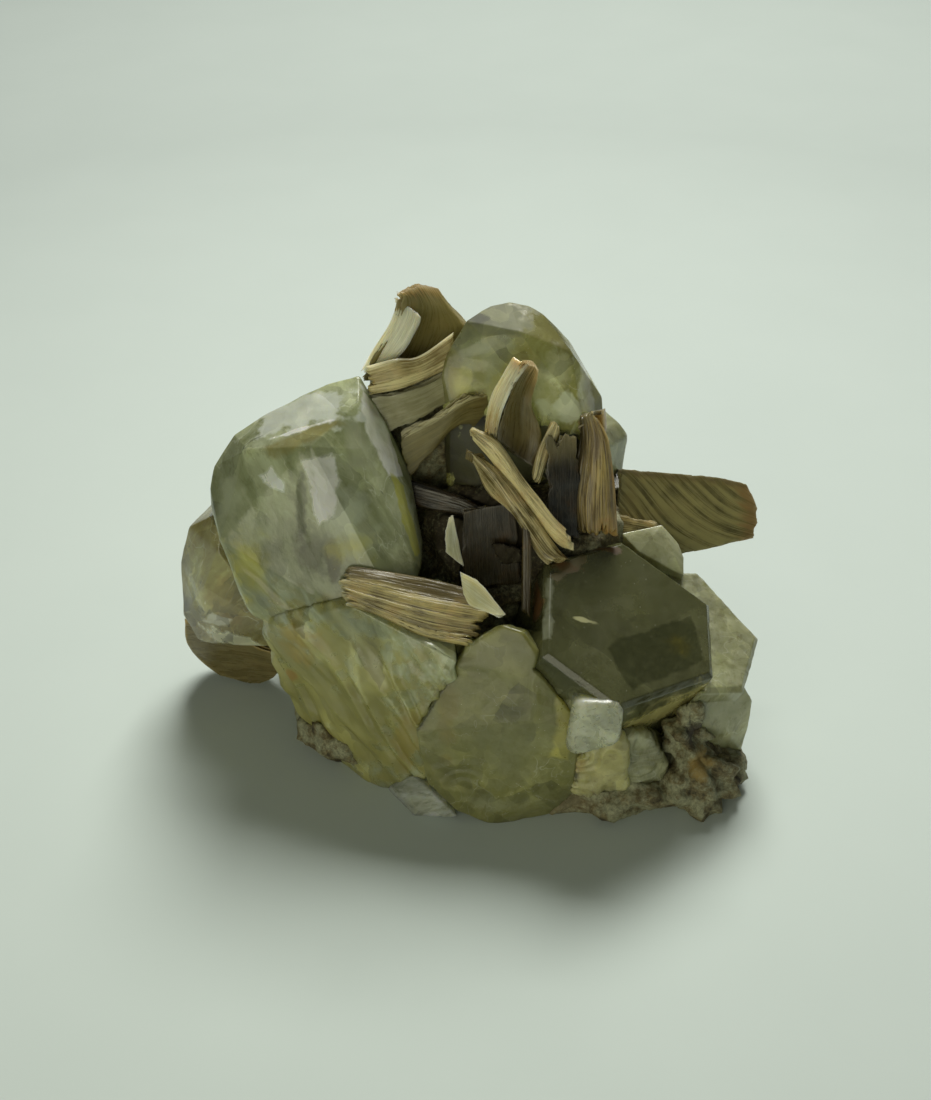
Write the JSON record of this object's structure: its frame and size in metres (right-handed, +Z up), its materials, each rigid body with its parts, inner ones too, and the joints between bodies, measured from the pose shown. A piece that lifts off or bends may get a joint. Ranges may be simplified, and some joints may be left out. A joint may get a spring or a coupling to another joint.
{
  "type": "aquamarine specimen",
  "caption": "Cluster of grey-green beryl crystals with bronze mica blades on rough matrix, resting on its flat broken base.",
  "frame": {"origin": "middle of the footprint, on the plane of the flat broken base", "axes": "+Z up from the base, +X along the specimen's length towards the mica fan, +Y towards its back"},
  "size_m": [0.0608, 0.0364, 0.0452],
  "materials": {
    "clear_beryl": "gloss",
    "milky_beryl": "satin",
    "mica": "satin",
    "dark_mica": "satin",
    "matrix": "matte"
  },
  "bodies": {
    "root": {"large_beryl": "clear_beryl", "right_beryl": "clear_beryl", "front_beryl": "milky_beryl", "right_back_beryl": "milky_beryl", "top_beryl": "clear_beryl", "top_back_beryl": "milky_beryl", "left_beryl": "clear_beryl", "small_upper_beryl": "milky_beryl", "small_white_beryl": "milky_beryl", "small_yellow_beryl": "milky_beryl", "small_grey_beryl": "milky_beryl", "small_glassy_beryl": "clear_beryl", "mica_left_book": "dark_mica", "mica_lower_flake": "mica", "mica_right_fan": "mica", "mica_front_book": "mica", "mica_upper_diagonal": "mica", "mica_lower_diagonal": "mica", "mica_curled_blade": "mica", "mica_ragged_plate": "mica", "mica_grey_plate": "mica", "mica_broad_blade": "mica", "mica_upright_curl": "mica", "mica_thin_edge": "mica", "mica_rust_book": "mica", "mica_dark_plate": "dark_mica", "mica_dark_stack": "dark_mica", "mica_upper_flake": "mica", "mica_thin_upright": "mica", "mica_pocket_plate": "dark_mica", "mica_right_upper_plate": "mica", "mica_right_lower_plate": "mica", "matrix": "matrix"}
  },
  "joints": []
}
